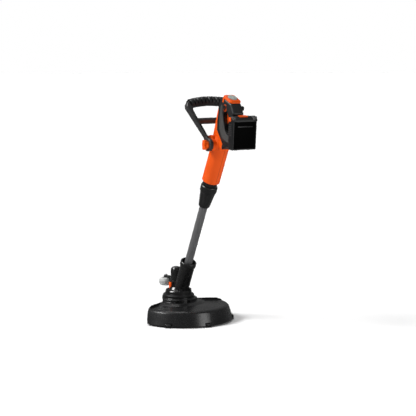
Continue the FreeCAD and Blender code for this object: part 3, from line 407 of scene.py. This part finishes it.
def grip_radius(along, upward):
    """Radius of the rubber sleeve: pads with grooves between them on top, smooth below."""
    taper = clamped((SLEEVE_HALF - abs(along)) / 3.0)
    smooth = SLEEVE_CORE + UNDERSIDE_RISE * taper
    phase = (along / PAD_PITCH + PAD_COUNT / 2) % 1.0
    groove = clamped((min(phase, 1 - phase) * PAD_PITCH - GROOVE_HALF) / GROOVE_SLOPE)
    padded = SLEEVE_CORE + PAD_RISE * groove * taper
    share = clamped((upward + 0.35) / 0.3)
    return smooth + (padded - smooth) * share


def front_grip_sleeve():
    """Rubber sleeve along the arch of the bail, with grooves between its pads; the groove faces take a
    near-black finish as painted shade.
    """
    centre = Vector((0, 0, GRIP_TOP - ARCH_RADIUS)) * MM
    half_angle = SLEEVE_HALF / ARCH_RADIUS
    bm = bmesh.new()
    bmesh.ops.create_circle(bm, segments=40, radius=SLEEVE_CORE * MM)
    place(bm, Matrix.Translation((0, 0, GRIP_TOP * MM)) @ Matrix.Rotation(math.pi / 2, 4, "X"))
    bmesh.ops.rotate(bm, cent=centre, matrix=Matrix.Rotation(half_angle, 3, "X"), verts=bm.verts)
    bmesh.ops.spin(bm, geom=bm.verts[:] + bm.edges[:], cent=centre, axis=(1, 0, 0), angle=-2 * half_angle,
                   steps=120)
    for vert in bm.verts:
        arm = vert.co - centre
        angle = math.atan2(-arm.y, arm.z)
        core = centre + Vector((0, -math.sin(angle), math.cos(angle))) * ARCH_RADIUS * MM
        radial = (vert.co - core).normalized()
        upward = radial.dot((core - centre).normalized()) + 0.5 * radial.x
        vert.co = core + radial * grip_radius(angle * ARCH_RADIUS, upward) * MM
    place(bm, ON_BAIL)
    sleeve = piece("front_grip_sleeve", bm, "bail_unit", "soft_black", replaces=["bail_grip_ribs"],
                   crease=60)
    # the groove faces get the near-black finish: painted shade in the grooves
    sleeve.data.materials.append(finishes["painted_shade_black"])
    for face in sleeve.data.polygons:
        local = ON_BAIL.inverted() @ face.center
        core = centre + (local - centre).normalized() * ARCH_RADIUS * MM
        depth = (local.x ** 2 + (local - core).length ** 2) ** 0.5
        face.material_index = int(depth < GROOVE_FLOOR * MM)


def bail_arm_slot_shade():
    """Near-black strips along the front and rear faces of both arms: painted shade standing for the grooves
    in the arms.
    """
    strips = []
    for side in (-1, 1):
        for face in (-1, 1):
            strip = block((1.2, 4.0, 30), (0, 0, 0), 0.5, 2)
            middle = ARM_STRIP_MIDDLE * Vector((face, side, 1)) * MM
            place(strip, Matrix.Translation(middle) @ Matrix.Rotation(-ARM_LEAN * side, 4, "X"))
            strips.append(strip)
    bm = joined(strips)
    place(bm, ON_BAIL)
    # the strips' near-black finish is painted shade of the arm grooves
    piece("bail_arm_slot_shade", bm, "bail_unit", "soft_black", finish="painted_shade_black")


# Guide wheel

WHEEL_X = -71.0
WHEEL_MIDDLE = 102.0
AXLE_TOP = 121.6

# Radius and distance from the wheel's middle plane, from the bore to the crown of the tread
TYRE_HALF = [(11, 11.6), (13.5, 12), (15.5, 11.6), (18.2, 10), (19.9, 7.8), (21.1, 5), (21.8, 2), (22, 0)]
TREAD_START = 18.5


def guide_wheel_tyre():
    """Rounded tyre whose tread is a grid of small pads."""
    lower = [(radius, WHEEL_MIDDLE - height) for radius, height in TYRE_HALF]
    upper = [(radius, WHEEL_MIDDLE + height) for radius, height in reversed(TYRE_HALF[:-1])]
    bm = lathe(lower + upper, 72)
    tread = [face for face in bm.faces if face.calc_center_median().xy.length > TREAD_START * MM]
    bmesh.ops.inset_individual(bm, faces=tread, thickness=0.28 * MM, depth=0.35 * MM)
    place(bm, Matrix.Translation((WHEEL_X * MM, 0, 0)))
    piece("guide_wheel_tyre", bm, "wheel_unit", "light_grey_plastic", replaces=["guide_tyre"], crease=50)


def wheel_axle_screw():
    piece("wheel_axle_screw", screw_head(4.4, (WHEEL_X, 0, AXLE_TOP)), "head_unit", "steel")


# Collar

COLLAR_BASE = 331.0
FLUTES_FROM = COLLAR_BASE + 3
FLUTES_TO = COLLAR_BASE + 51
FLUTE_DEPTH = 0.085                             # as a share of the nut's radius

# Radius and height above the base, up the nut, round the band and down into its mouth
COLLAR_PROFILE = [(13, 0), (15.2, 0.2), (16.4, 2), (17.6, 6), (23.3, 49), (24.3, 52.4), (24.9, 54),
                  (24.9, 68), (24.2, 70.4), (22.6, 72), (20.6, 71.6), (20.2, 67), (18.2, 67)]


def lock_collar_nut():
    """Twist collar: eight-sided tapered nut with finger flutes under a rounded band."""
    bm = lathe([(radius, COLLAR_BASE + height) for radius, height in COLLAR_PROFILE], 96)
    flanks = [edge for edge in bm.edges if abs(edge.verts[0].co.z - edge.verts[1].co.z) > 30 * MM]
    bmesh.ops.subdivide_edges(bm, edges=flanks, cuts=8, use_grid_fill=True)
    for vert in bm.verts:
        height = vert.co.z / MM
        if FLUTES_FROM < height < FLUTES_TO and vert.co.xy.length > 15 * MM:
            angle = math.atan2(vert.co.y, vert.co.x)
            facet = math.cos(4 * angle) ** 2
            depth = min(1.0, (height - FLUTES_FROM) / 4, (FLUTES_TO - height) / 6)
            shrink = 1 - (0.02 + FLUTE_DEPTH * (1 - facet)) * depth
            vert.co.x *= shrink
            vert.co.y *= shrink
    place(bm, ON_SHAFT)
    piece("lock_collar_nut", bm, "collar_unit", "dark_grey_plastic", finish="collar_black",
          replaces=["lock_collar"], crease=40)


# Battery

BATTERY_REAR = 12.5                             # half the battery's depth
BATTERY_SIDE = 41.5                             # half its width
RIB_COUNT = 7
RIB_PITCH = 5.0


def battery_piece(name, parts, slot, finish=None):
    bm = joined(parts)
    place(bm, ON_BATTERY)
    piece(name, bm, "battery_unit", slot, finish=finish)


def battery_face():
    """Panel set in the rear of the battery, with a raised bar across it; the panel is black plastic made
    darker and almost unreflective as painted shade of the rear face.
    """
    panel = block((1.6, 74, 76), (BATTERY_REAR, 0, -5.5), 0.7, 2)
    bar = block((2.0, 52, 3.4), (BATTERY_REAR + 0.7, 0, 18.5), 0.8, 3)
    # the panel's near-black, almost unreflective finish is painted shade
    battery_piece("battery_face_panel", [panel], "black_plastic", finish="battery_face_shade")
    battery_piece("battery_face_bar", [bar], "black_plastic")


def battery_fittings():
    """Bumpers on the two top corners, and an orange catch above a row of grip ribs on each side."""
    corners = []
    catches = []
    ribs = []
    for side in (-1, 1):
        corners.append(block((7.5, 9, 9), (BATTERY_REAR - 2.3, (BATTERY_SIDE - 5.3) * side, 42.2), 2.4, 4))
        catches.append(block((9, 2.4, 12), (-3, (BATTERY_SIDE - 0.2) * side, 38.5), 1.0, 3))
        for row in range(RIB_COUNT):
            height = 24 - RIB_PITCH * row
            ribs.append(block((15, 1.6, 1.8), (-1, (BATTERY_SIDE - 0.1) * side, height), 0.7, 2))
    battery_piece("battery_corners", corners, "dark_grey_plastic")
    battery_piece("battery_side_ribs", ribs, "dark_grey_plastic")
    battery_piece("battery_side_catches", catches, "orange_shell")


# Head

BOSS_ANGLES = (-92, -22, 33, 150)
BOSS_CIRCLE = 36.0
BOSS_TOP = 93.2
GUARD_CENTRE = Vector((34, 0, 0)) * MM          # centre of the guard's rim, behind the spool axis
CLIP_ANGLES = (-52, -4, 56)
LATCH_ANGLE = math.radians(-34)


def head_screws():
    """Screws on the four bosses of the foot."""
    heads = []
    for angle in BOSS_ANGLES:
        turn = math.radians(angle)
        seat = (BOSS_CIRCLE * math.cos(turn), BOSS_CIRCLE * math.sin(turn), BOSS_TOP)
        heads.append(screw_head(2.6, seat))
    piece("head_boss_screws", joined(heads), "head_unit", "steel", finish="head_black")


def guard_clips():
    """Rounded clips over the hooks of the guard's rim, each under a near-black block that paints the shade of
    the recess above it.
    """
    clips = []
    shades = []
    for angle in CLIP_ANGLES:
        turn = Matrix.Translation(GUARD_CENTRE) @ Matrix.Rotation(math.radians(angle), 4, "Z")
        clip = block((3.8, 13, 9), (148.2, 0, 5.2), 1.3, 3)
        shade = block((2.6, 20, 9), (146.4, 0, 9.6), 1.0, 2)
        for bm, group in ((clip, clips), (shade, shades)):
            place(bm, turn)
            group.append(bm)
    piece("guard_clips", joined(clips), "head_unit", "black_plastic", finish="guard_black")
    # near-black blocks above the clips: painted shade of the recesses
    piece("guard_clip_recess_shade", joined(shades), "head_unit", "black_plastic",
          finish="painted_shade_black")


def guard_latch():
    """Sprung hook in the ring of the guard, and a thin sheet on the floor of the pocket at its rear, both
    near-black as painted shade of the notch.
    """
    bridge = block((3.2, 15, 5), (57.4, 0, 59.5), 1.4, 3)
    legs = [block((7, 4, 9), (58.5, 5.5 * side, 55), 1.4, 3) for side in (-1, 1)]
    hook = joined([bridge] + legs)
    place(hook, Matrix.Rotation(LATCH_ANGLE, 4, "Z"))
    # thin near-black sheet on the pocket floor: a painted shadow
    pocket_shadow = block((0.8, 9, 9), (55.9, 0, 56.5), 0.3, 1)
    piece("guard_latch", joined([hook, pocket_shadow]), "head_unit", "black_plastic", finish="painted_shade_black")


# Handle

LOCK_X = 277.0
LOCK_Z = 650.0


def lock_off_rim():
    """Upright slot in an orange rim round the lock-off button, on the left of the handle; the slot is a
    near-black sheet, painted shade of its opening.
    """
    rim = block((10, 1.2, 19), (LOCK_X, -19.4, LOCK_Z), 0.5, 2)
    slot = block((6.5, 1.2, 16.5), (LOCK_X, -20.1, LOCK_Z), 0.5, 2)
    piece("lock_off_rim", rim, "handle_unit", "orange_shell")
    # near-black sheet standing for the slot: painted shade of its opening
    piece("lock_off_slot_shade", slot, "handle_unit", "soft_black", finish="painted_shade_black")


front_grip_sleeve()
bail_arm_slot_shade()
lock_off_rim()
guard_clips()
guard_latch()
guide_wheel_tyre()
wheel_axle_screw()
lock_collar_nut()
battery_face()
battery_fittings()
head_screws()


# Studio

VIEW_FROM = Vector((3.336, -2.141, 0.809))
VIEW_TO = Vector((0.018, 0.097, 0.332))


def aim(item, target):
    item.rotation_euler = (target - item.location).to_track_quat("-Z", "Y").to_euler()


def add_camera():
    data = bpy.data.cameras.new("camera")
    data.sensor_width = 36
    data.angle = math.radians(18)
    data.clip_end = 50
    camera = bpy.data.objects.new("camera", data)
    bpy.context.scene.collection.objects.link(camera)
    camera.location = VIEW_FROM
    aim(camera, VIEW_TO)
    bpy.context.scene.camera = camera


def place_light(name, data, across, ahead, up):
    """Put a light out from the object, in the directions that the camera sees."""
    back = (VIEW_FROM - VIEW_TO).normalized()
    right = Vector((-back.y, back.x, 0)).normalized()
    toward = Vector((back.x, back.y, 0)).normalized()
    light = bpy.data.objects.new(name, data)
    bpy.context.scene.collection.objects.link(light)
    light.location = VIEW_TO + right * across + toward * ahead + Vector((0, 0, up))
    aim(light, VIEW_TO)


def add_sun(name, across, ahead, up, softness, strength):
    """A soft distant light."""
    data = bpy.data.lights.new(name, "SUN")
    data.angle = math.radians(softness)
    data.energy = strength
    place_light(name, data, across, ahead, up)


def add_light(name, across, ahead, up, size, power):
    """A soft square light near the object, placed as the camera sees it."""
    data = bpy.data.lights.new(name, "AREA")
    data.size = size
    data.energy = power
    place_light(name, data, across, ahead, up)


def add_floor():
    bm = bmesh.new()
    bmesh.ops.create_grid(bm, x_segments=2, y_segments=2, size=40)
    mesh = bpy.data.meshes.new("floor")
    bm.to_mesh(mesh)
    bm.free()
    floor = bpy.data.objects.new("floor", mesh)
    bpy.context.scene.collection.objects.link(floor)
    material, tree, shader = new_finish("floor_white")
    shader.inputs["Base Color"].default_value = (0.93, 0.93, 0.93, 1)
    shader.inputs["Roughness"].default_value = 0.9
    shader.inputs["Specular IOR Level"].default_value = 0.1
    mesh.materials.append(material)
    floor.visible_glossy = False


def add_world():
    world = bpy.data.worlds.new("studio")
    bpy.context.scene.world = world
    world.use_nodes = True
    tree = world.node_tree
    light_path = add_node(tree, "ShaderNodeLightPath")
    strength = remap(tree, light_path.outputs["Is Camera Ray"], 0, 1, 0.16, 1.0)
    background = tree.nodes["Background"]
    background.inputs["Color"].default_value = (1, 1, 1, 1)
    tree.links.new(strength, background.inputs["Strength"])


finish_cad_nodes()
add_camera()
add_sun("key", -2.2, 0.55, 2.0, 22, 3.5)
add_sun("top", -0.3, -0.8, 2.5, 40, 0.9)
add_light("fill", 1.4, 1.3, 0.35, 0.8, 8)
add_floor()
add_world()
bpy.context.scene.view_settings.view_transform = "Standard"
